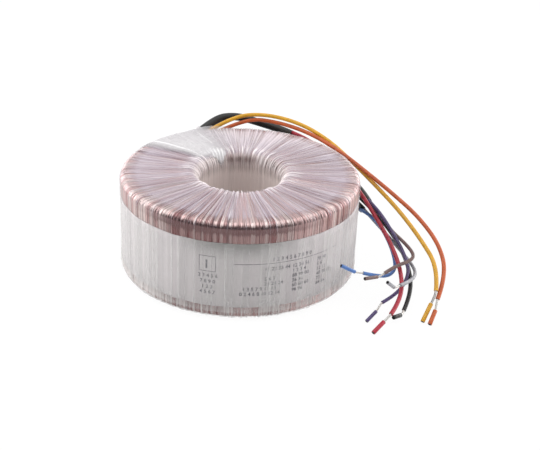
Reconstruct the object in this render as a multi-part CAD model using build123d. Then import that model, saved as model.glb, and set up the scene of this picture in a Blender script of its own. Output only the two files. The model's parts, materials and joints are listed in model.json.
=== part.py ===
from build123d import *
import math
import os
from dataclasses import dataclass

# A wound toroidal mains transformer, in millimetres, standing on its flat face. The origin is at the
# bottom centre and +Z is the winding axis. The eight leads leave at the back (+Y) and end at the
# right front (+X, -Y).

# Finished body
outer_diameter = 135.0
hole_diameter = 46.4
height = 57.0
top_rim_round = 4.4
base_rim_round = 5.2
lip_round = 6.8  # both edges of the hole

# Build of each layer, from the film inwards: at the hole, on the outer wall and on the two faces
film_build = 0.5
film_laps = 72
film_lap_step = 0.22  # how far each lap of film stands over the next on the wall
secondary_bore_build = 3.4
secondary_wall_build = 2.3
secondary_face_build = 2.4
secondary_turn_width = 1.9
secondary_turn_gap = 0.4  # between neighbouring turns, at the hole
turn_clearance = 0.1  # between the turns and the layers on each side of them
interwinding_build = 0.6
primary_bore_build = 2.2
primary_wall_build = 1.1
primary_face_build = 1.5
core_tape_build = 0.7
smallest_round = 0.6

# Label band, wrapped round the wall between the turns and the film
label_width = 37.5
label_foot = 8.0  # its lower edge above the base
label_thickness = 0.2

# Insulating patch over the place where the leads come out
patch_start_angle = 96.0
patch_end_angle = 148.0
patch_thickness = 0.35
patch_inner_radius = 28.0  # it goes over the lip a little
patch_overhang = 17.0  # how far it comes down the wall, past the sleeves
hump_angle = 107.0  # middle of the bulge that the leads make
hump_length = 36.0
hump_radius = 6.3
hump_inset = 3.6  # its centre line inside the wall
hump_drop = 5.0  # its centre line below the top face
cuff_length = 12.0  # film gathered round each sleeve where it comes out
cuff_film = 0.9
cuff_step = 0.15

# Sleeves and leads
sleeve_diameters = {"black_red_sleeve": 4.8, "violet_brown_sleeve": 4.2, "blue_grey_sleeve": 4.2}
primary_lead_diameter = 2.0
secondary_lead_diameter = 2.4
primary_strand_diameter = 1.0  # of the bare conductor
secondary_strand_diameter = 1.3
slug_recess = 1.2  # how far the strands end inside the tip of a slug
arc_share = 0.45  # of the shorter run, taken by the arc at a corner
straight_share = 0.3  # of a bare conductor, lying straight at each of its ends


@dataclass(frozen=True)
class Ring:
    """A rounded rectangle beside the axis, which is turned into a ring."""

    inner: float
    outer: float
    bottom: float
    top: float
    lip: float
    top_rim: float
    base_rim: float

    def inside(self, bore, wall, face):
        """The ring that is left when a layer is taken off at the hole, the wall and the faces."""
        return Ring(
            self.inner + bore,
            self.outer - wall,
            self.bottom + face,
            self.top - face,
            max(smallest_round, self.lip - max(bore, face)),
            max(smallest_round, self.top_rim - max(wall, face)),
            max(smallest_round, self.base_rim - max(wall, face)),
        )

    def section(self):
        """The rounded rectangle as a face in the XZ plane."""
        corners = (
            (self.inner, self.bottom, self.lip),
            (self.outer, self.bottom, self.base_rim),
            (self.outer, self.top, self.top_rim),
            (self.inner, self.top, self.lip),
        )
        face = make_face(Polyline(*[(r, z) for r, z, _ in corners], close=True))
        for r, z, rounding in corners:
            face = fillet(face.vertices().sort_by_distance((r, z, 0))[0], rounding)
        return Plane.XZ * face

    def solid(self):
        return revolve(self.section(), Axis.Z)


def shell(outside, inside):
    """A layer of even build: the ring outside it, less the ring inside it."""
    return revolve(outside.section() - inside.section(), Axis.Z)


# The nest of rings, from the film's surface in to the core. The film's rims stand a lap over its wall.
film_ring = Ring(
    hole_diameter / 2,
    outer_diameter / 2 + film_lap_step,
    0,
    height,
    lip_round,
    top_rim_round,
    base_rim_round,
)
label_ring = film_ring.inside(film_build, film_lap_step + film_build, film_build)
turn_ring = label_ring.inside(0, label_thickness, 0)
interwinding_ring = turn_ring.inside(secondary_bore_build, secondary_wall_build, secondary_face_build)
primary_2_ring = interwinding_ring.inside(interwinding_build, interwinding_build, interwinding_build)
primary_1_ring = primary_2_ring.inside(primary_bore_build, primary_wall_build, primary_face_build)
core_tape_ring = primary_1_ring.inside(primary_bore_build, primary_wall_build, primary_face_build)
core_ring = core_tape_ring.inside(core_tape_build, core_tape_build, core_tape_build)


def lapped_wall():
    """A prism with one flat for each lap of film, each standing a step over the next."""
    high = outer_diameter / 2
    low = high - film_lap_step
    outline = []
    for lap in range(film_laps):
        start, end = math.tau * lap / film_laps, math.tau * (lap + 1) / film_laps
        outline.append((high * math.cos(start), high * math.sin(start)))
        outline.append((low * math.cos(end), low * math.sin(end)))
    return extrude(make_face(Polyline(*outline, close=True)), height)


def film_jacket():
    """The outer film: rounded at the rims and lips, lapped on the wall, hollow for the windings."""
    return (film_ring.solid() & lapped_wall()) - label_ring.solid()


def secondary_turns():
    """Turns side by side round the ring, as wide apart at the wall as the hole allows."""
    pitch = secondary_turn_width + secondary_turn_gap
    pairs = int(math.tau * turn_ring.inner / pitch / 2)
    around = turn_ring.inside(turn_clearance, turn_clearance, turn_clearance)
    within = interwinding_ring.inside(-turn_clearance, -turn_clearance, -turn_clearance)
    loop = extrude(around.section() - within.section(), secondary_turn_width / 2, both=True)
    turns = [Rot(0, 0, 180 * i / pairs) * loop for i in range(2 * pairs)]
    return turns[0::2], turns[1::2]


def label_band():
    """The label: a thin band between the turns and the film."""
    standing = (Align.CENTER, Align.CENTER, Align.MIN)
    outside = Cylinder(label_ring.outer, label_width, align=standing)
    return Pos(0, 0, label_foot) * (outside - Cylinder(turn_ring.outer, label_width, align=standing))


def lead_hump():
    """The bulge over the leads: a spindle lying along the rim."""
    half = hump_length / 2
    arc = ThreePointArc((-half, 0), (0, hump_radius), (half, 0))
    spindle = revolve(make_face([arc, Line((half, 0), (-half, 0))]), Axis.X)
    place = Pos(film_ring.outer - hump_inset, 0, height - hump_drop) * Rot(0, 0, 90)
    return Rot(0, 0, hump_angle) * place * spindle


def sleeve_cuff(name):
    """The film gathered round the start of a sleeve: a taper from inside the wall to a rounded nose."""
    start, corner = Vector(*sleeve_routes[name][0]), Vector(*sleeve_routes[name][1])
    mouth = sleeve_diameters[name] / 2 + cuff_step
    widest, turn = cuff_length - cuff_film, cuff_film * math.sqrt(0.5)
    profile = [
        Line((0, 0), (widest, mouth + cuff_film)),
        ThreePointArc((widest, mouth + cuff_film), (widest + turn, mouth + turn), (cuff_length, mouth)),
        Line((cuff_length, mouth), (cuff_length, 0)),
        Line((cuff_length, 0), (0, 0)),
    ]
    return Plane(start, x_dir=corner - start) * revolve(make_face(profile), Axis.X)


def exit_patch():
    """A strip over the top face and the rim, with the hump and the cuffs, lying on the film."""
    over = Ring(
        film_ring.inner, film_ring.outer + patch_thickness, 0, height + patch_thickness,
        lip_round, top_rim_round + patch_thickness, base_rim_round,
    )
    window = Plane.XZ * Pos(patch_inner_radius, height - patch_overhang) * Rectangle(
        outer_diameter, height, align=(Align.MIN, Align.MIN)
    )
    strip = (over.section() - film_ring.section()) & window
    sector = revolve(Rot(0, 0, patch_start_angle) * strip, Axis.Z, patch_end_angle - patch_start_angle)
    bulges = lead_hump()
    for name in sleeve_routes:
        bulges += sleeve_cuff(name)
    return sector + (bulges - film_ring.solid())


# Routes of the sleeves, as the corners of their runs, from the winding to the free end
sleeve_routes = {
    "black_red_sleeve": [
        (-32.2, 55.1, 50.8), (-18, 73, 59), (-4, 78.5, 59.5), (11, 78, 55.5), (23.5, 74.5, 53),
        (31, 69, 52),
    ],
    "violet_brown_sleeve": [
        (-36.4, 54, 48.5), (-15.5, 73.5, 48.5), (4, 76, 46.5), (25.5, 72, 43.5), (45.5, 62, 39.5),
        (61.5, 47.5, 36), (71.5, 31, 34), (75, 15, 33),
    ],
    "blue_grey_sleeve": [
        (-33.7, 55.9, 44.2), (-14, 72, 42), (3, 73.5, 39.5), (23.5, 69.5, 36.5), (42.5, 60, 32.5),
        (57.5, 47.5, 28.5), (67.5, 33, 26), (72, 17, 27),
    ],
}

# Routes of the leads' insulation, then where the slug of insulation on each bare end starts and stops
lead_routes = {
    "yellow": [
        (-20.5, 63.5, 54.5), (-5.5, 70.5, 62), (13, 70, 64.5), (34.5, 62.5, 62.5), (52.8, 51.8, 55.8),
        (66.9, 36.4, 48), (79.2, 16.6, 42.2), (90.5, -6, 37.5), (101, -25.5, 29.5), (108.5, -42, 21.5),
        (106.5, -54, 14),
    ],
    "orange": [
        (-14, 65, 54), (2.5, 70.5, 61), (21.5, 67.5, 60.5), (41.8, 56.7, 58), (59.6, 40.9, 52.8),
        (74.1, 23.9, 47.4), (87.3, 7.6, 42.3), (101, -9.5, 36), (111, -28.5, 28), (113, -44.5, 18.5), (107.5, -56, 10),
    ],
    "red": [
        (31.2, 68.9, 53.2), (41.6, 61.3, 51.8), (53.5, 49.5, 46.5), (63.5, 34.5, 41), (71.5, 16.5, 36),
        (78.5, -2.5, 30.5), (85.5, -22, 24), (89.5, -40.5, 16.5), (88, -56, 9.5), (81.5, -67, 6.5),
    ],
    "black": [
        (31, 69, 50.8), (41.4, 61.4, 49.4), (53, 50.5, 40.5), (63, 37.5, 34), (73, 22.5, 30),
        (82.5, 5.5, 26),
        (90.5, -12.5, 21), (95, -30.5, 14.5), (95, -45.5, 7.5), (90, -56, 2.5),
    ],
    "brown": [
        (75.1, 14.6, 32), (77.6, 8.3, 31.6), (81.8, 1.4, 30.4), (86.6, -8.4, 26), (93.4, -18, 23.5),
        (97.5, -29, 22),
        (94, -35.5, 21.5), (86, -40, 21), (79.5, -45, 19),
    ],
    "violet": [
        (75, 14.8, 34.1), (77.5, 7, 34), (81.5, -1.2, 32), (86.3, -11, 27.3), (92.5, -23, 20),
        (94.5, -34.5, 15),
        (90.5, -44, 10.5), (83.5, -51, 7.5), (78, -56, 7),
    ],
    "blue": [
        (71, 16.4, 27), (74.2, 8, 28.8), (79, -1, 28), (83, -11, 24.8), (86.3, -21, 20),
        (87.5, -31, 15),
        (83.5, -38, 13.5), (76, -41.5, 15), (68, -44, 18),
    ],
    "grey": [
        (73, 17, 27), (76, 8.8, 26.6), (79.8, 2, 24.6), (86, -5.5, 20.5), (92.5, -15.5, 16.5),
        (98, -26.5, 13.5),
        (98, -36.5, 13.5), (93, -45.5, 14), (87, -53.5, 16.5),
    ],
}
slug_ends = {
    "yellow": ((104, -57.5, 8), (99, -65, 1.1)),
    "orange": ((106, -61, 6), (102.5, -67.5, 1.1)),
    "red": ((77.5, -71.5, 4.5), (71.5, -77.5, 1.2)),
    "black": ((87.5, -62, 3), (83, -67, 4.5)),
    "brown": ((75, -49.5, 19), (67.5, -55.5, 21)),
    "violet": ((74.5, -61, 4.5), (69, -66, 1)),
    "blue": ((63, -47.5, 20.5), (55, -50, 25.5)),
    "grey": ((83, -58.5, 18), (78.5, -64, 24)),
}
primary_colours = ("blue", "grey", "violet", "brown")


def arc_radii(points):
    """The radius at each corner: its share of the shorter run, over the tangent of half the turn."""
    radii = []
    for before, corner, after in zip(points, points[1:], points[2:]):
        arriving = Vector(*corner) - Vector(*before)
        leaving = Vector(*after) - Vector(*corner)
        half_turn = math.radians(arriving.get_angle(leaving)) / 2
        radii.append(arc_share * min(arriving.length, leaving.length) / math.tan(half_turn))
    return radii


def round_tube(points, diameter):
    """A round solid along straight runs joined by tangent arcs."""
    path = FilletPolyline(*points, radius=arc_radii(points))
    tube = sweep(Plane(path @ 0, z_dir=path % 0) * Circle(diameter / 2), path)
    share = tube.volume / (math.pi * diameter**2 / 4 * path.length)
    return tube, path.length, share


def cord(name, points, diameter, *stops):
    """The tube of a lead or sleeve, ending against the solids that it comes out of."""
    tube, length, share = round_tube(points, diameter)
    for stop in stops:
        tube = (tube - stop).solids().sort_by(SortBy.VOLUME)[-1]
    radii = [round(r, 1) for r in arc_radii(points)]
    print(f"{name}: {length:.1f} mm long, volume {share:.4f} of section x length, radii {radii}")
    return tube


def conductor(points, slug_start, slug_tip, diameter):
    """Bare strands that leave the insulation straight and enter the slug straight."""
    end, entry = Vector(*points[-1]), Vector(*slug_start)
    reach = (entry - end).length * straight_share
    leaving = (end - Vector(*points[-2])).normalized() * reach
    entering = (Vector(*slug_tip) - entry).normalized() * reach
    points = [tuple(end), tuple(end + leaving), tuple(entry - entering), tuple(entry)]
    return round_tube(points, diameter)[0]


def slug(start, tip, diameter, strands):
    """The piece of insulation left on the end of a stripped lead, open at its tip."""
    length = (Vector(*tip) - Vector(*start)).length
    along = Plane(start, z_dir=Vector(*tip) - Vector(*start))
    whole = Cylinder(diameter / 2, length, align=(Align.CENTER, Align.CENTER, Align.MIN))
    recess = Pos(0, 0, length - slug_recess) * Cylinder(
        strands / 2, slug_recess, align=(Align.CENTER, Align.CENTER, Align.MIN)
    )
    return along * (whole - recess)


def leads(stops):
    """The insulation, bare conductor and slug of each of the eight leads."""
    made = {}
    for colour, route in lead_routes.items():
        primary = colour in primary_colours
        thick = primary_lead_diameter if primary else secondary_lead_diameter
        strands = primary_strand_diameter if primary else secondary_strand_diameter
        start, tip = slug_ends[colour]
        made[f"{colour}_lead"] = cord(f"{colour}_lead", route, thick, *stops.get(colour, ()))
        made[f"{colour}_conductor"] = conductor(route, start, tip, strands)
        made[f"{colour}_slug"] = slug(start, tip, thick, strands)
    return made


def build():
    """Every piece, by its node's name."""
    patch = exit_patch()
    surface = film_ring.solid()
    first_turns, second_turns = secondary_turns()
    nodes = {
        "core": core_ring.solid(),
        "core_tape": shell(core_tape_ring, core_ring),
        "primary_winding_1": shell(primary_1_ring, core_tape_ring),
        "primary_winding_2": shell(primary_2_ring, primary_1_ring),
        "interwinding_insulation": shell(interwinding_ring, primary_2_ring),
        "secondary_winding_1": Compound(first_turns),
        "secondary_winding_2": Compound(second_turns),
        "label_band": label_band(),
        "film_jacket": film_jacket(),
        "lead_exit_patch": patch,
    }
    for name, route in sleeve_routes.items():
        nodes[name] = cord(name, route, sleeve_diameters[name], surface, patch)
    nodes.update(leads({"yellow": (surface, patch), "orange": (surface, patch)}))
    return nodes


os.makedirs("parts", exist_ok=True)
for node, shape in build().items():
    export_step(shape, f"parts/{node}.step")
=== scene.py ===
"""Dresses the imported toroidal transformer: its windings, film, label, exit patch, sleeves and leads.

Everything is in metres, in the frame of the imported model: the origin is the bottom centre of the ring,
+Z is the axis of its hole, and the leads leave near +Y and end towards +X.
"""

from __future__ import annotations

import json
import logging
import math
from dataclasses import dataclass, field
from enum import Enum
from functools import partial, reduce

import bmesh
import bpy
import numpy as np
from mathutils import Matrix, Vector


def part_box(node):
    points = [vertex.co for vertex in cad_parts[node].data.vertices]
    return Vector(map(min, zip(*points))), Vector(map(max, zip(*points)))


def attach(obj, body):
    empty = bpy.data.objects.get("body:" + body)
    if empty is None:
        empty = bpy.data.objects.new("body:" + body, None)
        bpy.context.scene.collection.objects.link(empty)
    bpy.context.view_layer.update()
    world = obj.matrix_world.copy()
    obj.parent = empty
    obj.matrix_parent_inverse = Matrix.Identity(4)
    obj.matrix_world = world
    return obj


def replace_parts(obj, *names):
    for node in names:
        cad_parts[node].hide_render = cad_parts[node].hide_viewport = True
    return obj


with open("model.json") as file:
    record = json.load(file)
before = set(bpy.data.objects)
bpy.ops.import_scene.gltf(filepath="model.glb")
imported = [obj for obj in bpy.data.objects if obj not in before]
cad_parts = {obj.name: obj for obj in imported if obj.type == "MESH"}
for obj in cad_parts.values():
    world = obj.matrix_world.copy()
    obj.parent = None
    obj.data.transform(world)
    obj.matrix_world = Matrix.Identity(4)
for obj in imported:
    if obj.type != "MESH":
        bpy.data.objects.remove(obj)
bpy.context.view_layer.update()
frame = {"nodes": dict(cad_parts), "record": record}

MM = 0.001
BODY = "root"
Colour = tuple[float, float, float]
Point = tuple[float, float, float]
Profile = tuple[float, ...]
Input = object
log = logging.getLogger("transformer")


# ---------------------------------------------------------------- meshes


def place(name: str, data: bpy.types.ID) -> bpy.types.Object:
    """Puts a mesh, curve, lamp or camera into the scene.

    Args:
        name: The object's name.
        data: What it shows.

    Returns:
        A new object at the origin.
    """
    made = bpy.data.objects.new(name, data)
    bpy.context.scene.collection.objects.link(made)
    return made


def place_piece(name: str, data: bpy.types.ID) -> bpy.types.Object:
    """Puts a mesh or curve into the scene as a piece that rides on the body."""
    piece = place(name, data)
    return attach(piece, BODY) or piece


def place_smooth(name: str, mesh: bpy.types.Mesh) -> bpy.types.Object:
    """Shades a filled mesh smooth and puts it into the scene.

    Args:
        name: The piece's name.
        mesh: The mesh.

    Returns:
        The piece.
    """
    mesh.validate()
    mesh.polygons.foreach_set("use_smooth", np.ones(len(mesh.polygons), dtype=bool))
    return place_piece(name, mesh)


def new_mesh(name: str, points: np.ndarray, faces: np.ndarray) -> bpy.types.Object:
    """Makes a smooth piece from arrays of corners and four-sided faces.

    Args:
        name: The piece's name.
        points: Corners, as rows of x, y and z.
        faces: Four corner numbers a row, anticlockwise from outside.

    Returns:
        The piece.
    """
    mesh = bpy.data.meshes.new(name)
    mesh.vertices.add(len(points))
    mesh.vertices.foreach_set("co", np.ascontiguousarray(points, dtype=np.float32).ravel())
    mesh.loops.add(faces.size)
    mesh.loops.foreach_set("vertex_index", np.ascontiguousarray(faces, dtype=np.int32).ravel())
    mesh.polygons.add(len(faces))
    mesh.polygons.foreach_set("loop_start", np.arange(0, faces.size, faces.shape[1], dtype=np.int32))
    mesh.update(calc_edges=True)
    return place_smooth(name, mesh)


def grid_faces(rows: int, columns: int, wrap_rows: bool, wrap_columns: bool) -> np.ndarray:
    """The four-sided faces of a grid of corners stored row by row.

    Args:
        rows: Number of rows of corners.
        columns: Number of corners in a row.
        wrap_rows: Whether the last row joins the first.
        wrap_columns: Whether the last corner of a row joins its first.

    Returns:
        Corner numbers, four to a face, in the order (row, column), (row, next), (next, next), (next, column).
    """
    i = np.arange(rows if wrap_rows else rows - 1)[:, None]
    j = np.arange(columns if wrap_columns else columns - 1)[None, :]
    i_next, j_next = (i + 1) % rows, (j + 1) % columns
    corners = (i * columns + j, i * columns + j_next, i_next * columns + j_next, i_next * columns + j)
    return np.stack(np.broadcast_arrays(*corners), axis=-1).reshape(-1, 4)


def square_frame(tangent: np.ndarray, aid: Point) -> tuple[np.ndarray, np.ndarray]:
    """Two unit directions square to a tangent and to each other.

    Args:
        tangent: One direction, or rows of them.
        aid: A fixed direction that no tangent lies along.

    Returns:
        The side, tangent × aid made a unit long, and the up direction, tangent × side.
    """
    side = np.cross(tangent, aid)
    side /= np.linalg.norm(side, axis=-1, keepdims=True)
    return side, np.cross(tangent, side)


def add_attribute(piece: bpy.types.Object, name: str, values: np.ndarray) -> None:
    """Stores one number for each corner, for a material to read.

    Args:
        piece: The mesh object.
        name: The attribute's name.
        values: One number for each corner.
    """
    attribute = piece.data.attributes.new(name, "FLOAT", "POINT")
    attribute.data.foreach_set("value", np.ascontiguousarray(values, dtype=np.float32).ravel())


def smooth_step(values: np.ndarray, low: float, high: float) -> np.ndarray:
    """Rises from 0 at low to 1 at high, as 3t² - 2t³ with t the share of the way."""
    t = np.clip((values - low) / (high - low), 0, 1)
    return t * t * (3 - 2 * t)


def bell(values: np.ndarray, width: float) -> np.ndarray:
    """A bell of height 1 over 0: exp(-(value / width)²)."""
    return np.exp(-((values / width) ** 2))


def swell(azimuth: np.ndarray, waves: int, seed: int) -> np.ndarray:
    """A smooth unevenness round the ring: the mean of cosines of whole frequencies.

    Args:
        azimuth: Angles in radians.
        waves: The highest frequency, in waves to a turn.
        seed: Chooses the phases.

    Returns:
        Values of about -1 to 1, periodic in a turn.
    """
    rng = np.random.default_rng(seed)
    frequency = np.arange(max(1, waves // 3), waves + 1)
    phase = rng.uniform(0, math.tau, len(frequency))
    return np.cos(azimuth[..., None] * frequency + phase).sum(-1) / math.sqrt(len(frequency))


# ---------------------------------------------------------------- the ring's section


@dataclass(frozen=True)
class RoundedSection:
    """The ring's section: a rectangle beside the axis, rounded at its four corners."""

    inner: float
    outer: float
    height: float
    lip: float
    top_rim: float = 4.4 * MM
    base_rim: float = 5.2 * MM
    rows: tuple[int, ...] = (8, 9, 12, 10, 13, 8, 5, 5)

    def stretches(self) -> list[tuple[float, ...]]:
        """The bore, lip, top, rim, wall, base rim, bottom and lower lip.

        Returns:
            For each: length, start r and z, direction r and z, then radius, centre r and z and start angle
            of an arc, with a radius of 0 for a straight stretch.
        """
        quarter = math.pi / 2
        top, lip, rim, base = self.height, self.lip, self.top_rim, self.base_rim
        straight = [
            (top - 2 * lip, self.inner, lip, 0, 1),
            (self.outer - rim - self.inner - lip, self.inner + lip, top, 1, 0),
            (top - rim - base, self.outer, top - rim, 0, -1),
            (self.outer - base - self.inner - lip, self.outer - base, 0, -1, 0),
        ]
        arcs = [
            (lip, self.inner + lip, top - lip, math.pi),
            (rim, self.outer - rim, top - rim, quarter),
            (base, self.outer - base, base, 0),
            (lip, self.inner + lip, lip, -quarter),
        ]
        found = []
        for line, (radius, r, z, start) in zip(straight, arcs):
            found.append((*line, 0, 0, 0, 0))
            found.append((quarter * radius, 0, 0, 0, 0, radius, r, z, start))
        return found

    def edges(self) -> np.ndarray:
        """Distances along the section at which its stretches start and end."""
        return np.concatenate(([0.0], np.cumsum([stretch[0] for stretch in self.stretches()])))

    def stations(self) -> np.ndarray:
        """Distances along the section for a grid's rows.

        Returns:
            Distances, evenly spaced within each stretch.
        """
        edges = self.edges()
        spans = zip(edges[:-1], edges[1:], self.rows)
        return np.concatenate([np.linspace(low, high, count, endpoint=False) for low, high, count in spans])

    def trace(self, along: np.ndarray) -> tuple[np.ndarray, np.ndarray, np.ndarray, np.ndarray]:
        """Points and outward normals of the section.

        A straight stretch is start + direction × distance, with the normal a quarter turn left of it.
        An arc is centre + radius × (cos, sin) of its start angle less distance / radius, with the
        normal along that.

        Args:
            along: Distances along the section from the foot of the bore.

        Returns:
            r, z, and the normal's r and z.
        """
        edges, rows = self.edges(), np.array(self.stretches())
        index = np.clip(np.searchsorted(edges, along, side="right") - 1, 0, len(rows) - 1)
        _, r0, z0, dr, dz, radius, cr, cz, start = rows[index].T
        local = along - edges[index]
        angle = start - local / np.where(radius > 0, radius, 1)
        arc = radius > 0
        r = np.where(arc, cr + radius * np.cos(angle), r0 + dr * local)
        z = np.where(arc, cz + radius * np.sin(angle), z0 + dz * local)
        normal_r = np.where(arc, np.cos(angle), -dz)
        normal_z = np.where(arc, np.sin(angle), dr)
        return r, z, normal_r, normal_z

    def surface(self, azimuth: np.ndarray, along: np.ndarray, lift: np.ndarray) -> np.ndarray:
        """Points of the ring: the section's point moved out along its normal by lift, turned to the azimuth.

        Args:
            azimuth: Angles in radians, one a point of the grid or one a row.
            along: Distances along the section, one a column.
            lift: Heights over the section, one a point of the grid.

        Returns:
            Rows of x, y and z, azimuth by azimuth.
        """
        r, z, normal_r, normal_z = self.trace(along)
        radius = r + normal_r * lift
        height = z + normal_z * lift
        points = (radius * np.cos(azimuth), radius * np.sin(azimuth), height + 0 * azimuth)
        return np.stack(points, axis=-1).reshape(-1, 3)

    def profile(self, along: np.ndarray, values: Profile) -> np.ndarray:
        """A value along the section: level in nine stretches, and straight from each to the next.

        Args:
            along: Distances along the section.
            values: Values at the bore, lip, top, rim, shoulder, wall, hem, base and bottom.

        Returns:
            One value for each distance.
        """
        edge = self.edges()
        wall = edge[5] - edge[4]
        places = [
            edge[0] + 2 * MM, edge[1] - 4 * MM,
            edge[1] + 3 * MM, edge[2] - 1 * MM,
            edge[2] + 5 * MM, edge[3] - 5 * MM,
            edge[3] + 0.5 * MM, edge[4] - 1.5 * MM,
            edge[4] + 1 * MM, edge[4] + 6.5 * MM,
            edge[4] + 8.5 * MM, edge[4] + wall - 4.5 * MM,
            edge[5] - 2.2 * MM, edge[5],
            edge[5] + 1 * MM, edge[6] - 1 * MM,
            edge[6] + 3 * MM, edge[7] - 3 * MM,
            edge[8],
        ]
        return np.interp(along, places, [*np.repeat(values, 2), values[0]])


# ---------------------------------------------------------------- materials


class Nodes:
    """The nodes of a material or a world, with one short call for each kind."""

    def __init__(self, owner: bpy.types.Material | bpy.types.World, output: str) -> None:
        """Empties the owner's node tree.

        Args:
            owner: The material or world.
            output: The type of its output node.
        """
        owner.use_nodes = True
        self.nodes, self.links = owner.node_tree.nodes, owner.node_tree.links
        self.nodes.clear()
        self.output = self.node(output)

    def node(
        self, kind: str, inputs: dict[int | str, Input] | None = None, **settings: Input
    ) -> bpy.types.Node:
        """Adds a node.

        Args:
            kind: The node's type.
            inputs: A value or another node's socket for each input.
            settings: The node's own properties.

        Returns:
            The node.
        """
        made = self.nodes.new(kind)
        for key, value in settings.items():
            setattr(made, key, value)
        for key, value in (inputs or {}).items():
            if isinstance(value, bpy.types.NodeSocket):
                self.links.new(value, made.inputs[key])
            else:
                made.inputs[key].default_value = value
        return made

    def maths(self, operation: str, a: Input, b: Input = 0.0) -> bpy.types.NodeSocket:
        """The result of one operation on two numbers."""
        return self.node("ShaderNodeMath", {0: a, 1: b}, operation=operation).outputs[0]

    def total(self, *terms: Input) -> bpy.types.NodeSocket:
        """The sum of several numbers."""
        return reduce(partial(self.maths, "ADD"), terms)

    def product(self, a: Input, b: Input) -> bpy.types.NodeSocket:
        """The product of two numbers."""
        return self.maths("MULTIPLY", a, b)

    def dot(self, vector: Input, weights: Point) -> bpy.types.NodeSocket:
        """The sum of a vector's parts, each times its weight."""
        inputs = {0: vector, 1: weights}
        return self.node("ShaderNodeVectorMath", inputs, operation="DOT_PRODUCT").outputs["Value"]

    def mix(self, factor: Input, a: Input, b: Input) -> bpy.types.NodeSocket:
        """A colour between a and b."""
        inputs = {0: factor, 6: opaque(a), 7: opaque(b)}
        return self.node("ShaderNodeMix", inputs, data_type="RGBA").outputs[2]

    def fit(
        self, value: Input, low: float, high: float, to_low: float, to_high: float
    ) -> bpy.types.NodeSocket:
        """The value carried smoothly from one range to another, held at both ends."""
        inputs = {0: value, 1: low, 2: high, 3: to_low, 4: to_high}
        return self.node("ShaderNodeMapRange", inputs, interpolation_type="SMOOTHSTEP").outputs[0]

    def noise(
        self, vector: Input, scale: float, detail: float = 2.0, rough: float = 0.5
    ) -> bpy.types.NodeSocket:
        """Smooth noise of about 0 to 1."""
        inputs = {"Vector": vector, "Scale": scale, "Detail": detail, "Roughness": rough}
        return self.node("ShaderNodeTexNoise", inputs).outputs["Fac"]

    def attribute(self, name: str) -> bpy.types.NodeSocket:
        """A number that the mesh holds for each corner."""
        return self.node("ShaderNodeAttribute", attribute_name=name).outputs["Fac"]

    def position(self) -> tuple[bpy.types.NodeSocket, ...]:
        """The point on the piece.

        Returns:
            The point as a vector, its x, y and z, and its distance from the axis, the root of x² + y².
        """
        vector = self.node("ShaderNodeTexCoord").outputs["Object"]
        parts = self.node("ShaderNodeSeparateXYZ", {0: vector}).outputs
        squares = self.maths("ADD", *(self.product(part, part) for part in parts[:2]))
        return vector, *parts, self.maths("SQRT", squares)

    def wrapped(self, around: float, along: float) -> bpy.types.NodeSocket:
        """Coordinates that run with the turns: the direction from the axis × around, and (r + z) × along.

        Args:
            around: How fast a pattern changes from turn to turn.
            along: How fast it changes along a turn, for each metre.

        Returns:
            The vector socket.
        """
        _, x, y, z, r = self.position()
        across = self.maths("DIVIDE", around, r)
        inputs = {
            0: self.product(x, across),
            1: self.product(y, across),
            2: self.product(self.maths("ADD", r, z), along),
        }
        return self.node("ShaderNodeCombineXYZ", inputs).outputs[0]

    def bump(self, height: Input, distance: float, strength: float = 1.0) -> bpy.types.NodeSocket:
        """A normal tilted by a height in shares of a distance in metres."""
        inputs = {"Height": height, "Distance": distance, "Strength": strength}
        return self.node("ShaderNodeBump", inputs).outputs[0]


class Tree(Nodes):
    """A new material's nodes, which end in one shader."""

    def __init__(self, name: str) -> None:
        """Starts an empty material.

        Args:
            name: The material's name.
        """
        self.material = bpy.data.materials.new(name)
        super().__init__(self.material, "ShaderNodeOutputMaterial")

    def shade(self, **inputs: Input) -> bpy.types.Material:
        """Ends the tree in a Principled shader.

        Args:
            inputs: Its inputs, with underscores for spaces.

        Returns:
            The material.
        """
        named = {key.replace("_", " "): opaque(value) if "Color" in key or "Tint" in key else value
                 for key, value in inputs.items()}
        self.links.new(self.node("ShaderNodeBsdfPrincipled", named).outputs[0], self.output.inputs[0])
        return self.material


def opaque(value: Input) -> Input:
    """A colour of three numbers with a fourth of 1, or anything else as it is."""
    return (*value, 1.0) if isinstance(value, tuple) and len(value) == 3 else value


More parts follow.
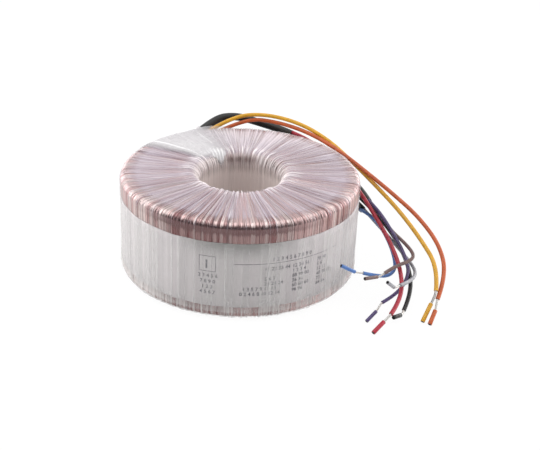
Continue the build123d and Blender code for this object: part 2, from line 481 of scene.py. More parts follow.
@dataclass(frozen=True)
class CopperFinish:
    """Enamelled copper turns: pink copper, with painted shade in dark red in the grooves and in strokes along
    the turns, painted darkness under the rim that stands for a dark surround mirrored in the copper, and a
    painted band of shade round the shoulder.

    The painted darkness and the band of shade are full on the front and back of the ring and fade towards its
    left and, sooner, its right.
    """

    dark: Colour = (0.30, 0.085, 0.09)
    copper: Colour = (0.72, 0.48, 0.465)
    pale: Colour = (0.84, 0.69, 0.665)
    # Painted shade: the dark red of the grooves, of the strokes and of the darkness under the rim.
    groove: Colour = (0.10, 0.045, 0.045)
    shade: Colour = (0.15, 0.085, 0.085)
    shade_height: float = 52.75 * MM
    shade_reach: float = 2.95 * MM
    shade_left: tuple[float, float] = (-59 * MM, -30 * MM)
    shade_right: tuple[float, float] = (12 * MM, 56 * MM)
    # Painted darkness under the rim, between these heights: a dark surround mirrored in the copper.
    painted_dark_low: float = 51.0 * MM
    painted_dark_high: float = 54.0 * MM

    def material(self) -> bpy.types.Material:
        """Builds the material from the turns' attributes tone and crest.

        Returns:
            The material.
        """
        tree = Tree("enamelled_copper")
        tone, crest = tree.attribute("tone"), tree.attribute("crest")
        _, x, _, z, _ = tree.position()
        streak = tree.noise(tree.wrapped(210, 12), 1.0, 2.0)
        stroke = tree.noise(tree.wrapped(120, 9), 1.0, 2.0, 0.7)
        body = tree.mix(tree.fit(tone, 0.0, 0.3, 0.0, 1.0), self.dark, self.copper)
        body = tree.mix(tree.fit(tone, 0.45, 0.9, 0.0, 1.0), body, self.pale)
        body = tree.mix(tree.fit(streak, 0.35, 0.7, 0.0, 0.4), body, self.pale)
        # Painted shade: the grooves between bundles and strokes along the turns go dark red.
        body = tree.mix(tree.fit(crest, 0.05, 0.6, 0.9, 0.0), body, self.groove)
        body = tree.mix(tree.fit(stroke, 0.47, 0.66, 0.0, 0.84), body, self.groove)
        middle = tree.product(
            tree.fit(x, *self.shade_left, 0.0, 1.0),
            tree.fit(x, *self.shade_right, 1.0, 0.0),
        )
        # Painted darkness under the rim, full at the front and back: a dark surround mirrored in the copper.
        painted_dark = tree.product(tree.fit(z, self.painted_dark_low, self.painted_dark_high, 0.68, 0.0), middle)
        body = tree.mix(painted_dark, body, self.groove)
        away = tree.maths("ABSOLUTE", tree.maths("SUBTRACT", z, self.shade_height))
        uneven = tree.total(tree.fit(tone, 0.0, 1.0, 0.25, -0.2), tree.fit(stroke, 0.3, 0.7, 0.7, 1.35))
        reach = tree.product(uneven, self.shade_reach)
        shade = tree.fit(tree.maths("DIVIDE", away, reach), 0.65, 1.1, 0.93, 0.0)
        body = tree.mix(tree.product(shade, middle), body, self.shade)
        rough = tree.fit(streak, 0.3, 0.7, 0.24, 0.38)
        return tree.shade(Base_Color=body, Metallic=1.0, Roughness=rough, Normal=tree.bump(streak, 0.00014))


@dataclass(frozen=True)
class FilmFinish:
    """Clear film pulled tight over the turns, with milky streaks along its laps.

    It is lilac on top, greyer on the wall, brownish in the bore and pinkish white at the bore's lip. It is
    whiter towards the back of the ring, and milkier there and towards its two sides. Painted highlights go
    white: glints, the pleats' backs at the lip and strokes along the top's outer edge. Painted shade goes
    dark in the creases at the lip and in a hollow at its back, and the film in the bore glows a little:
    painted light.
    """

    top: Colour = (0.55, 0.475, 0.55)
    wall: Colour = (0.67, 0.66, 0.65)
    bore: Colour = (0.70, 0.615, 0.59)
    lip: Colour = (0.95, 0.84, 0.83)
    # White of the milky streaks, of the painted highlights and of the whitening towards the back.
    shine: Colour = (0.98, 0.91, 0.92)
    # Painted shade in the creases and the hollow at the lip.
    gap: Colour = (0.20, 0.125, 0.12)
    bore_radius: float = 24.5 * MM
    lip_radius: float = 28 * MM
    lip_low: float = 48.0 * MM
    lip_high: float = 52.5 * MM
    shoulder_low: float = 49.0 * MM
    shoulder_high: float = 54.5 * MM
    edge_inner: float = 59.5 * MM
    edge_outer: float = 64.0 * MM
    edge_low: float = 54.6 * MM
    edge_high: float = 55.8 * MM
    # Painted light: the film in the bore glows this much, fading out towards the lip.
    bore_glow: float = 0.02
    least: float = 0.03
    most: float = 0.97

    def material(self) -> bpy.types.Material:
        """Builds the material from the film's attributes lap, edge, cover, streak, crease and pleat.

        Returns:
            The material.
        """
        tree = Tree("stretched_film")
        lap, edge, cover = tree.attribute("lap"), tree.attribute("edge"), tree.attribute("cover")
        streaky, crease, pleat = (tree.attribute(name) for name in ("streak", "crease", "pleat"))
        _, x, y, z, r = tree.position()
        fine = tree.noise(tree.wrapped(170, 45), 1.0, 4.0, 0.65)
        broad = tree.noise(tree.wrapped(70, 28), 1.0, 2.0)
        glint = tree.noise(tree.wrapped(105, 26), 1.0, 1.0)
        colour = tree.mix(tree.fit(z, self.shoulder_low, self.shoulder_high, 0.0, 1.0), self.wall, self.top)
        colour = tree.mix(tree.fit(y, 14 * MM, 62 * MM, 0.0, 0.38), colour, self.shine)
        inner = tree.mix(tree.fit(z, self.lip_low, self.lip_high, 0.0, 1.0), self.bore, self.lip)
        colour = tree.mix(tree.fit(r, self.bore_radius, self.lip_radius, 1.0, 0.0), colour, inner)
        # Painted highlights: glints and the pleats' backs at the lip go white, with the milky streaks.
        bright = tree.total(tree.fit(fine, 0.52, 0.75, 0.0, 0.45), tree.fit(glint, 0.60, 0.70, 0.0, 0.75))
        bright = tree.maths("MAXIMUM", tree.product(bright, streaky), pleat)
        stroke = tree.noise(tree.wrapped(120, 9), 1.0, 2.0, 0.7)
        # Painted highlight: white strokes along the top's outer edge by the rim.
        at_edge = tree.product(
            tree.fit(r, self.edge_inner, self.edge_outer, 0.0, 1.0),
            tree.fit(z, self.edge_low, self.edge_high, 0.0, 1.0),
        )
        strokes = tree.product(at_edge, tree.fit(stroke, 0.40, 0.52, 0.9, 0.0))
        bright = tree.maths("MAXIMUM", bright, strokes)
        colour = tree.mix(bright, colour, self.shine)
        # Painted shade: the creases and the hollow at the lip go dark.
        colour = tree.mix(crease, colour, self.gap)
        veil = tree.total(
            tree.product(tree.fit(fine, 0.3, 0.7, -0.34, 0.28), streaky),
            tree.product(tree.fit(broad, 0.3, 0.7, -0.22, 0.12), tree.maths("ADD", streaky, 0.1)),
            tree.fit(lap, 0.0, 1.0, -0.10, 0.08),
            tree.product(edge, tree.fit(streaky, 0.0, 0.8, 0.16, 0.30)),
            tree.product(tree.maths("MAXIMUM", crease, pleat), 0.4),
            tree.product(strokes, 0.4),
            tree.fit(y, 12 * MM, 60 * MM, 0.0, 0.42),
            tree.fit(tree.maths("ABSOLUTE", x), 34 * MM, 66 * MM, 0.0, 0.22),
            cover,
        )
        alpha = tree.node("ShaderNodeClamp", {0: veil, 1: self.least, 2: self.most}).outputs[0]
        rough = tree.fit(broad, 0.3, 0.7, 0.16, 0.28)
        height = tree.product(fine, streaky)
        # Painted light: a faint glow of the film in the bore.
        glow = tree.fit(r, self.bore_radius, self.lip_radius, self.bore_glow, 0.0)
        return tree.shade(Base_Color=colour, Roughness=rough, Alpha=alpha, Specular_IOR_Level=0.5,
                          Coat_Weight=0.18, Coat_Roughness=0.12, Normal=tree.bump(height, 0.00009),
                          Emission_Color=self.bore, Emission_Strength=glow)


@dataclass(frozen=True)
class LabelFinish:
    """Grey-white label film with broad upright bands where the laps press on it.

    It is painted greyer in the middle of the front and of the back, and most of all near its top there:
    painted shade that stands for a dark surround mirrored in the film over it.
    """

    body: Colour = (0.475, 0.437, 0.448)
    band: Colour = (0.67, 0.63, 0.635)
    fibre: Colour = (0.45, 0.44, 0.44)
    shaded: Colour = (0.20, 0.20, 0.19)
    shaded_start: float = 8 * MM
    shaded_half: float = 42 * MM
    shaded_low: float = 34 * MM
    shaded_high: float = 45 * MM

    def material(self) -> bpy.types.Material:
        """Builds the material from the label's attribute facet.

        Returns:
            The material.
        """
        tree = Tree("label_sheet")
        vector, x, _, z, _ = tree.position()
        broad = tree.noise(tree.wrapped(26, 2), 1.0, 1.0)
        fibre = tree.noise(vector, 1800.0, 2.0)
        colour = tree.mix(tree.attribute("facet"), self.body, self.band)
        colour = tree.mix(tree.fit(broad, 0.4, 0.6, 0.0, 0.35), colour, self.body)
        colour = tree.mix(tree.fit(fibre, 0.3, 0.7, 0.0, 0.08), colour, self.fibre)
        # Painted shade: greyer in the middle of the front and back, most near the top.
        middle = tree.fit(tree.maths("ABSOLUTE", x), self.shaded_start, self.shaded_half, 1.0, 0.0)
        high = tree.fit(z, self.shaded_low, self.shaded_high, 0.24, 0.85)
        colour = tree.mix(tree.product(middle, high), colour, self.shaded)
        return tree.shade(Base_Color=colour, Roughness=0.5, Normal=tree.bump(fibre, 0.00003))


@dataclass(frozen=True)
class PatchFinish:
    """White film, creased and glossy, drawn out in streaks and clearer towards its right edge."""

    body: Colour = (0.68, 0.66, 0.67)
    cloudy: Colour = (0.58, 0.555, 0.575)
    # White of the painted highlights on the folds.
    bright: Colour = (1.0, 0.99, 1.0)

    def material(self) -> bpy.types.Material:
        """Builds the material from the patch's attributes cover and fold; fold also sets the painted
        highlights.

        Returns:
            The material.
        """
        tree = Tree("white_patch_film")
        vector = tree.position()[0]
        crease = tree.noise(vector, 150.0, 2.0)
        cloud = tree.noise(vector, 40.0, 2.0)
        streak = tree.noise(tree.wrapped(320, 40), 1.0, 3.0)
        colour = tree.mix(tree.fit(cloud, 0.35, 0.65, 0.0, 0.7), self.body, self.cloudy)
        colour = tree.mix(tree.fit(streak, 0.35, 0.65, 0.0, 0.45), colour, self.cloudy)
        # Painted highlight: where the film folds, creases or crumples it goes bright white.
        colour = tree.mix(tree.attribute("fold"), colour, self.bright)
        alpha = tree.product(tree.fit(streak, 0.3, 0.7, 0.98, 0.84), tree.attribute("cover"))
        height = tree.maths("ADD", tree.product(crease, 0.35), streak)
        return tree.shade(Base_Color=colour, Roughness=tree.fit(crease, 0.3, 0.7, 0.16, 0.34), Alpha=alpha,
                          Coat_Weight=0.4, Coat_Roughness=0.1, Normal=tree.bump(height, 0.0002, 0.6))


@dataclass(frozen=True)
class PlasticFinish:
    """Extruded insulation: even colour, a low gloss, faint scuffs and dust, and painted shade in a slug's
    open tip.
    """

    name: str
    body: Colour
    roughness: float = 0.36
    scuff: float = 0.12
    # Painted shade inside a slug's open tip.
    recess: Colour = (0.01, 0.008, 0.008)

    def material(self) -> bpy.types.Material:
        """Builds the material, which reads the attribute recess: 1 inside a slug's open tip.

        Inside the tip, shade is painted near black.

        Returns:
            The material.
        """
        tree = Tree(self.name)
        vector = tree.position()[0]
        cloud = tree.noise(vector, 220.0, 3.0)
        scuff = tree.noise(vector, 2600.0, 2.0)
        deep = tuple(0.72 * value for value in self.body)
        worn = tuple(min(1.0, 0.8 * value + 0.10) for value in self.body)
        colour = tree.mix(tree.fit(cloud, 0.3, 0.7, 0.0, 0.6), self.body, deep)
        colour = tree.mix(tree.fit(scuff, 0.6, 0.8, 0.0, self.scuff), colour, worn)
        # Painted shade: near black inside a slug's open tip.
        colour = tree.mix(tree.attribute("recess"), colour, self.recess)
        rough = tree.fit(cloud, 0.3, 0.7, self.roughness - 0.06, self.roughness + 0.10)
        return tree.shade(Base_Color=colour, Roughness=rough, Coat_Weight=0.25, Coat_Roughness=0.2,
                          Normal=tree.bump(scuff, 0.00004))


@dataclass(frozen=True)
class MetalFinish:
    """Bare metal with fine drawn streaks."""

    name: str
    body: Colour
    roughness: float = 0.28

    def material(self) -> bpy.types.Material:
        """Builds the material.

        Returns:
            The material.
        """
        tree = Tree(self.name)
        vector = tree.position()[0]
        grain = tree.noise(vector, 1500.0, 3.0)
        colour = tree.mix(tree.fit(grain, 0.3, 0.7, 0.0, 0.5), self.body, tuple(0.6 * v for v in self.body))
        rough = tree.fit(grain, 0.3, 0.7, self.roughness - 0.08, self.roughness + 0.12)
        return tree.shade(Base_Color=colour, Metallic=1.0, Roughness=rough, Normal=tree.bump(grain, 0.00003))


@dataclass(frozen=True)
class TapeFinish:
    """Wound insulating tape, with its laps as pale and deep bands."""

    name: str
    body: Colour

    def material(self) -> bpy.types.Material:
        """Builds the material.

        Returns:
            The material.
        """
        tree = Tree(self.name)
        lap = tree.noise(tree.wrapped(60, 8), 1.0, 2.0)
        colour = tree.mix(tree.fit(lap, 0.35, 0.65, 0.0, 1.0), self.body, tuple(0.75 * v for v in self.body))
        return tree.shade(Base_Color=colour, Roughness=0.35, Normal=tree.bump(lap, 0.0002))


def dress(piece: bpy.types.Object, material: bpy.types.Material) -> bpy.types.Object:
    """Gives a new piece its finish and logs its name.

    Args:
        piece: The piece.
        material: Its material.

    Returns:
        The piece.
    """
    piece.data.materials.clear()
    piece.data.materials.append(material)
    log.info("%s", piece.name)
    return piece


# ---------------------------------------------------------------- the wound ring


@dataclass(frozen=True)
class Strips:
    """Strips side by side round the ring, of uneven width: bundles of turns, laps of film or pleats."""

    count: int
    spread: float
    seed: int

    def edges(self) -> np.ndarray:
        """Angles at which the strips start: the sums of widths, each the exponential of a random number.

        Returns:
            One angle more than there are strips, the last a whole turn.
        """
        rng = np.random.default_rng(self.seed)
        widths = np.exp(self.spread * rng.standard_normal(self.count))
        return np.concatenate(([0.0], np.cumsum(widths / widths.sum() * math.tau)))

    def locate(self, azimuth: np.ndarray) -> tuple[np.ndarray, np.ndarray]:
        """Finds the strips that angles are in.

        Args:
            azimuth: Angles in radians.

        Returns:
            The number of each angle's strip, and the share of the way across it.
        """
        edges = self.edges()
        turned = np.mod(azimuth, math.tau)
        index = np.clip(np.searchsorted(edges, turned, side="right") - 1, 0, self.count - 1)
        return index, (turned - edges[index]) / (edges[index + 1] - edges[index])

    def values(self, salt: int) -> np.ndarray:
        """One even random number from 0 to 1 for each strip."""
        return np.random.default_rng(self.seed + salt).uniform(0, 1, self.count)


@dataclass
class WoundRing:
    """The ring: turns of copper, the label round them and the film pulled over both."""

    section: RoundedSection
    bundles: Strips = field(default_factory=lambda: Strips(220, 0.32, 3))
    laps: Strips = field(default_factory=lambda: Strips(112, 0.28, 8))
    pleats: Strips = field(default_factory=lambda: Strips(104, 0.4, 21))
    shares: tuple[float, ...] = (0.0, 0.1, 0.3, 0.5, 0.7, 0.9)
    label_low: float = 8.0 * MM
    label_high: float = 45.5 * MM
    label_depth: float = 0.42 * MM
    label_sink: float = 0.05 * MM
    label_shift: float = 0.055
    film_gap: float = 0.06 * MM
    gathered_angle: float = 145.0
    gathered_width: float = 24.0
    deep_angle: float = 89.0
    deep_cosines: tuple[float, float] = (0.86, 0.98)
    lip_shade_rise: float = 3.6 * MM
    lip_shade_width: float = 3.0 * MM
    pleat_shift: float = 5.0 * MM
    # Profiles, with heights in millimetres: the bore, lip, top, rim, shoulder, wall, hem, base and bottom
    turn_relief: Profile = (0.10, 0.45, 0.26, 0.48, 0.36, 0.20, 0.34, 0.45, 0.26)
    turn_depth: Profile = (0.45, 0.62, 0.62, 0.80, 0.86, 1.05, 0.80, 0.80, 0.62)
    film_sink: float = 0.16
    film_slant: Profile = (0.0, 0.01, 0.035, 0.055, 0.055, 0.055, 0.055, 0.055, 0.03)
    film_step: Profile = (0.03, 0.08, 0.13, 0.10, 0.12, 0.12, 0.12, 0.12, 0.12)
    film_follow: Profile = (0.03, 0.20, 0.09, 0.30, 0.16, 0.02, 0.22, 0.30, 0.10)
    film_pleat: Profile = (0.02, 1.0, 0.04, 0.0, 0.0, 0.0, 0.0, 0.40, 0.04)
    film_milk: Profile = (1.15, 0.78, 0.77, 0.20, 0.04, 0.38, 0.72, 0.60, 0.70)
    film_streak: Profile = (0.12, 1.0, 0.9, 0.8, 0.3, 0.02, 0.4, 0.8, 0.8)

    def angles(self) -> np.ndarray:
        """The grid's angles.

        Returns:
            Angles at the same few shares of the way across each bundle, so that every groove has corners.
        """
        edges = self.bundles.edges()
        widths = np.diff(edges)
        return (edges[:-1, None] + widths[:, None] * np.array(self.shares)).ravel()

    def lap_slope(self, azimuth: np.ndarray) -> np.ndarray:
        """How far down its lap each angle lies: a long ramp down, then a short one up to the next lap."""
        _, share = self.laps.locate(azimuth)
        return np.minimum(share / 0.72, (1 - share) / 0.28)

    def crest(self, azimuth: np.ndarray) -> np.ndarray:
        """How far up its bundle's round back each angle lies: the root of 1 less the square of the offset."""
        _, share = self.bundles.locate(azimuth)
        return np.sqrt(np.clip(1 - (1.9 * share - 0.95) ** 2, 0, 1))

    def backs(self, azimuth: np.ndarray) -> np.ndarray:
        """The round back of each bundle, higher on some bundles than on others."""
        index, _ = self.bundles.locate(azimuth)
        return self.crest(azimuth) * (0.75 + 0.35 * self.bundles.values(5)[index])

    def ridges(self, azimuth: np.ndarray) -> np.ndarray:
        """The round back of each pleat: the squared sine of the way across it, times its own height."""
        index, share = self.pleats.locate(azimuth)
        return self.pleats.values(9)[index] * np.sin(math.pi * share) ** 2

    def turn_lift(self, azimuth: np.ndarray, along: np.ndarray) -> np.ndarray:
        """Heights of the turns: the relief of their backs, less their depth under the section.

        Args:
            azimuth: Angles in radians, one a row.
            along: Distances along the section, one a column.

        Returns:
            One height for each point of the grid.
        """
        relief = self.section.profile(along, self.turn_relief)
        depth = self.section.profile(along, self.turn_depth)
        return MM * (relief * self.backs(azimuth)[:, None] - depth)

    def film_lift(self, azimuth: np.ndarray, along: np.ndarray) -> np.ndarray:
        """Heights of the film: a soft copy of the turns and pleats at the lips, less each lap's slope.

        Args:
            azimuth: Angles in radians, one a row.
            along: Distances along the section, one a column.

        Returns:
            One height for each point of the grid.
        """
        slant, step, follow, pleat = (
            self.section.profile(along, values)
            for values in (self.film_slant, self.film_step, self.film_follow, self.film_pleat)
        )
        slope = self.lap_slope(azimuth[:, None] + slant)
        soft = follow * self.backs(azimuth)[:, None]
        return MM * (soft + pleat * self.ridges(azimuth)[:, None] - step * slope - self.film_sink)

    def film_cover(self, azimuth: np.ndarray, along: np.ndarray) -> np.ndarray:
        """How milky the film is: its profile, a bell of gathers beside the patch, and a slow swell.

        Args:
            azimuth: Angles in radians, one a row.
            along: Distances along the section, one a column.

        Returns:
            One number for each point of the grid, where 1 hides what is under the film.
        """
        beside = np.degrees(azimuth)[:, None] - self.gathered_angle
        lip = self.section.edges()[2] - 3.5 * MM
        gathered = 0.4 * bell(beside, self.gathered_width) * bell(along - lip, 4.5 * MM)
        return self.section.profile(along, self.film_milk) + gathered + 0.06 * swell(azimuth, 24, 2)[:, None]

    def lip_marks(self, azimuth: np.ndarray, along: np.ndarray) -> tuple[np.ndarray, np.ndarray]:
        """Painted shade in the creases between the pleats at the upper lip, and painted highlights on the
        pleats' backs above them.

        A crease's shade falls off from the edge of its pleat, and lies low on the lip. At the back of the
        ring the creases run together into a painted dark hollow, a bell up the lip, and the painted
        highlights start higher and reach further over the top.

        Args:
            azimuth: Angles in radians, one a row.
            along: Distances along the section, one a column.

        Returns:
            The creases' painted shade and the backs' painted highlights, from 0 to 1 at each point of the
            grid.
        """
        start, end = self.section.edges()[1:3]
        index, share = self.pleats.locate(azimuth)
        deep = smooth_step(np.cos(azimuth - math.radians(self.deep_angle)), *self.deep_cosines)
        gap = (1 - np.sin(math.pi * share)) ** 0.9 * (0.35 + 0.65 * self.pleats.values(2)[index])
        low = smooth_step(along, start - 3.0 * MM, start + 0.5 * MM)
        low = low * (1 - smooth_step(along, start + 3.2 * MM, end + 0.5 * MM))
        hollow = (deep * (0.62 + 0.38 * self.pleats.values(6)[index]))[:, None]
        hollow = hollow * bell(along - start - self.lip_shade_rise, self.lip_shade_width)
        crease = np.maximum((gap * (0.14 + 0.86 * deep))[:, None] * low, hollow)
        shift = self.pleat_shift * deep
        past_start = along - start - shift[:, None]
        past_end = along - end - (shift * self.pleats.values(3)[index])[:, None]
        back = smooth_step(past_start, 0.0, 2.5 * MM) * (1 - smooth_step(past_end, 0.0, 7.0 * MM))
        return crease, self.ridges(azimuth)[:, None] * back

    def turns(self) -> bpy.types.Object:
        """The secondary turns, which stand for both interleaved windings.

        Their attributes are tone (one number a bundle) and crest.

        Returns:
            The piece.
        """
        azimuth, along = self.angles(), self.section.stations()
        points = self.section.surface(azimuth[:, None], along, self.turn_lift(azimuth, along))
        piece = new_mesh("wound_turns", points, grid_faces(len(azimuth), len(along), True, True))
        index, _ = self.bundles.locate(azimuth)
        level = np.ones(len(along))
        add_attribute(piece, "tone", self.bundles.values(7)[index][:, None] * level)
        add_attribute(piece, "crest", self.crest(azimuth)[:, None] * level)
        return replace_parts(piece, "secondary_winding_1", "secondary_winding_2") or piece

    def film(self) -> bpy.types.Object:
        """The clear film over the whole ring, pressed flat where it lies on the floor.

        Its attributes are lap (one number a lap), edge (0 at a lap's two ends, -1 between them), cover,
        streak, crease (painted shade at the lip) and pleat (painted highlights at the lip).

        Returns:
            The piece.
        """
        azimuth, along = self.angles(), self.section.stations()
        lift = np.maximum(self.film_lift(azimuth, along), self.turn_lift(azimuth, along) + self.film_gap)
        points = self.section.surface(azimuth[:, None], along, lift)
        points[:, 2] = np.maximum(points[:, 2], 0.0)
        piece = new_mesh("stretched_film", points, grid_faces(len(azimuth), len(along), True, True))
        index, share = self.laps.locate(azimuth[:, None] + np.zeros(len(along)))
        # Painted shade and painted highlights at the lip.
        crease, pleat = self.lip_marks(azimuth, along)
        attributes = {
            "lap": self.laps.values(4)[index],
            "edge": smooth_step(share, 0.86, 1.0) - smooth_step(share, 0.0, 0.06),
            "cover": self.film_cover(azimuth, along),
            "streak": np.ones(len(azimuth))[:, None] * self.section.profile(along, self.film_streak),
            "crease": crease,
            "pleat": pleat,
        }
        for name, values in attributes.items():
            add_attribute(piece, name, values)
        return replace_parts(piece, "film_jacket") or piece

    def label(self) -> bpy.types.Object:
        """The label: a band round the wall, pressed in a little by the laps, with a thin top and foot.

        Its attribute facet is one number a lap, and more where the next lap begins.

        Returns:
            The piece.
        """
        azimuth = self.angles()
        low, high = self.label_low, self.label_high
        sunk = self.label_sink * self.lap_slope(azimuth + self.label_shift)
        heights = np.array([low, low + 0.1 * MM, 27 * MM, high - 0.1 * MM, high, high, low])
        sink = np.array([0.1, 0.0, 0.0, 0.0, 0.1, 0.3, 0.3]) * MM
        radius = (self.section.outer - self.label_depth - sunk)[:, None] - sink
        z = heights + 0.12 * MM * swell(azimuth, 30, 6)[:, None]
        points = np.stack((radius * np.cos(azimuth)[:, None], radius * np.sin(azimuth)[:, None], z), -1)
        faces = grid_faces(len(azimuth), len(heights), True, True)[:, ::-1]
        piece = new_mesh("label_wrap", points.reshape(-1, 3), faces)
        index, share = self.laps.locate(azimuth + self.label_shift)
        facet = self.laps.values(15)[index] * 0.7 + 0.3 * smooth_step(share, 0.75, 0.95)
        add_attribute(piece, "facet", facet[:, None] * np.ones(len(heights)))
        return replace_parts(piece, "label_band") or piece

    def build(self) -> None:
        """Makes and dresses the three pieces."""
        dress(self.turns(), CopperFinish().material())
        dress(self.label(), LabelFinish().material())
        dress(self.film(), FilmFinish().material())


# ---------------------------------------------------------------- the print on the label


@dataclass(frozen=True)
class InkFinish:
    """Grey ink, a little worn."""

    ink: Colour = (0.06, 0.055, 0.07)
    worn: Colour = (0.24, 0.23, 0.25)

    def material(self) -> bpy.types.Material:
        """Builds the material.

        Returns:
            The material.
        """
        tree = Tree("label_ink")
        wear = tree.noise(tree.position()[0], 700.0, 3.0)
        colour = tree.mix(tree.fit(wear, 0.45, 0.7, 0.0, 1.0), self.ink, self.worn)
        return tree.shade(Base_Color=colour, Roughness=0.6)


@dataclass(frozen=True)
class NumberRow:
    """A row of plain numbers on the unrolled label: its text, left end, foot and height in millimetres."""

    text: str
    left: float
    foot: float
    tall: float = 2.1

    def shape(self) -> tuple[np.ndarray, list[list[int]]]:
        """The numbers as flat faces.

        Returns:
            Corners as rows of x and y in millimetres on the unrolled label, and each face's corners.
        """
        data = bpy.data.curves.new("numbers", "FONT")
        data.body = self.text
        data.size = self.tall * 1.4
        data.offset = 0.028 * self.tall
        data.resolution_u = 2
        lettered = bpy.data.objects.new("numbers", data)
        mesh = lettered.to_mesh()
        corners = np.empty(len(mesh.vertices) * 3)
        mesh.vertices.foreach_get("co", corners)
        faces = [list(face.vertices) for face in mesh.polygons]
        lettered.to_mesh_clear()
        bpy.data.objects.remove(lettered)
        bpy.data.curves.remove(data)
        return corners.reshape(-1, 3)[:, :2] + (self.left, self.foot), faces


@dataclass(frozen=True)
class Rule:
    """A printed line on the unrolled label, in short steps so that it follows the curve."""

    left: float
    foot: float
    wide: float
    tall: float = 0.32

    def shape(self) -> tuple[np.ndarray, list[list[int]]]:
        """The line as flat faces.

        Returns:
            Corners and faces, as for a row of numbers.
        """
        steps = max(1, int(self.wide / 1.5))
        across = np.linspace(self.left, self.left + self.wide, steps + 1)
        feet, heads = np.full_like(across, self.foot), np.full_like(across, self.foot + self.tall)
        corners = np.concatenate((np.stack((across, feet), -1), np.stack((across, heads), -1)))
        faces = [[i, i + 1, i + 2 + steps, i + 1 + steps] for i in range(steps)]
        return corners, faces


@dataclass
class LabelPrint:
    """Plain numbers and rules round the front of the label, just above it and under the film."""

    section: RoundedSection
    depth: float = 0.37 * MM
    front: float = -90.0
    marks: list[NumberRow | Rule] = field(default_factory=lambda: [
        Rule(-20.5, 37.2, 9.0), Rule(-20.5, 28.4, 9.0),
        Rule(-20.5, 28.4, 0.25, 9.0), Rule(-11.7, 28.4, 0.25, 9.0),
        NumberRow("1", -18.2, 30.3, 5.0),
        NumberRow("2 3 4 5 6", -21.0, 25.0), NumberRow("7 8 9 0", -20.0, 21.6),
        NumberRow("1 2 3", -19.0, 18.4), NumberRow("4 5 6 7", -20.0, 15.2),
        Rule(-2.0, 33.6, 62.0), NumberRow("1 2 3 4 5 6 7 8 9 0", 18.0, 35.0, 2.2),
        NumberRow("11 22 33 44", 14.0, 29.6), NumberRow("12 34 56", 29.5, 29.6),
        NumberRow("78 90", 45.0, 29.6), NumberRow("1 2 3 4", 29.5, 26.7),
        NumberRow("5 6", 45.0, 26.7), NumberRow("5 6 7", 14.0, 23.8),
        NumberRow("88 99 00", 29.5, 23.8), NumberRow("12 12", 45.0, 23.8),
        NumberRow("24 24 24", 14.0, 20.9), NumberRow("36 36", 29.5, 20.9),
        NumberRow("48 48 48", 45.0, 20.9), NumberRow("1 3 5 7 9 11 13", 2.5, 18.0),
        NumberRow("60 60 60", 29.5, 18.0), NumberRow("72", 45.0, 18.0),
        NumberRow("0 2 4 6 8 10 12 14", 1.0, 15.1), NumberRow("96 96", 29.5, 15.1),
        NumberRow("84 84", 45.0, 15.1),
    ])

    def build(self) -> None:
        """Makes and dresses the print: each corner is turned round the axis to left / radius."""
        radius = self.section.outer - self.depth
        corners, faces, count = [], [], 0
        for mark in self.marks:
            flat, around = mark.shape()
            corners.append(flat)
            faces += [[corner + count for corner in face] for face in around]
            count += len(flat)
        flat = np.concatenate(corners) * MM
        azimuth = math.radians(self.front) + flat[:, 0] / radius
        points = np.stack((radius * np.cos(azimuth), radius * np.sin(azimuth), flat[:, 1]), -1)
        mesh = bpy.data.meshes.new("label_numbers")
        mesh.from_pydata(points.tolist(), [], faces)
        dress(place_piece("label_numbers", mesh), InkFinish().material())


# ---------------------------------------------------------------- the exit patch


